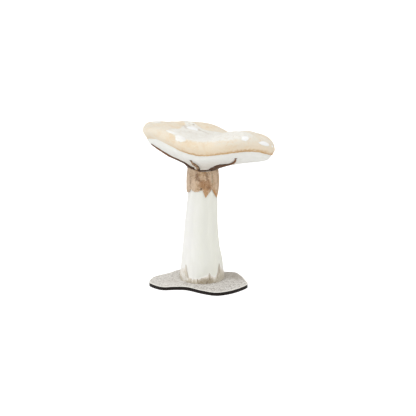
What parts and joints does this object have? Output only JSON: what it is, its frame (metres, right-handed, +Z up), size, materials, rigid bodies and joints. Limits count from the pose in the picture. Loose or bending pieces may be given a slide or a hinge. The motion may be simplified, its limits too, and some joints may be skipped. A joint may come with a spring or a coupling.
{
  "type": "mushroom ornament",
  "caption": "Free-standing felt mushroom: a wide wavy cap with a star underneath, on a tapered stem with a collar, fixed to a flat free-form base board.",
  "frame": {"origin": "on the floor under the stem's axis, on the underside of the base", "axes": "+Z up, +X to the right side and +Y to the back, as seen from the front"},
  "size_m": [0.1637, 0.126, 0.2077],
  "materials": {
    "black_pad": "matt",
    "black_board": "matt black paint",
    "grey_felt": "mottled felt",
    "steel_screw": "plain",
    "dowel_wood": "raw",
    "stem_foam": "firm foam",
    "white_felt": "smooth felt",
    "brown_wool_felt": "mottled fibres",
    "taupe_wool": "loose fibres",
    "cap_foam": "firm foam",
    "tan_felt": "soft felt, ochre near the rim",
    "cream_felt": "smooth felt",
    "dark_brown_felt": "matt felt",
    "ochre_wool": "twisted strand",
    "pale_wool": "marbled wool",
    "white_wool": "needled wool"
  },
  "bodies": {
    "root": {"base_pad": "black_pad", "base_board": "black_board", "base_top_felt": "grey_felt", "base_screw": "steel_screw", "stem_dowel": "dowel_wood", "stem_core": "stem_foam", "stem_felt": "white_felt", "collar": "brown_wool_felt", "foot_wool": "taupe_wool", "cap_core": "cap_foam", "cap_top_felt": "tan_felt", "cap_underside_felt": "cream_felt", "underside_star": "dark_brown_felt", "rim_strand": "ochre_wool", "crown_wool": "pale_wool", "spot_back_left": "white_wool", "spot_crown": "white_wool", "spot_front_left": "white_wool", "spot_streak": "white_wool", "spot_right": "white_wool", "spot_right_edge": "white_wool", "spot_rim": "white_wool"}
  },
  "joints": []
}
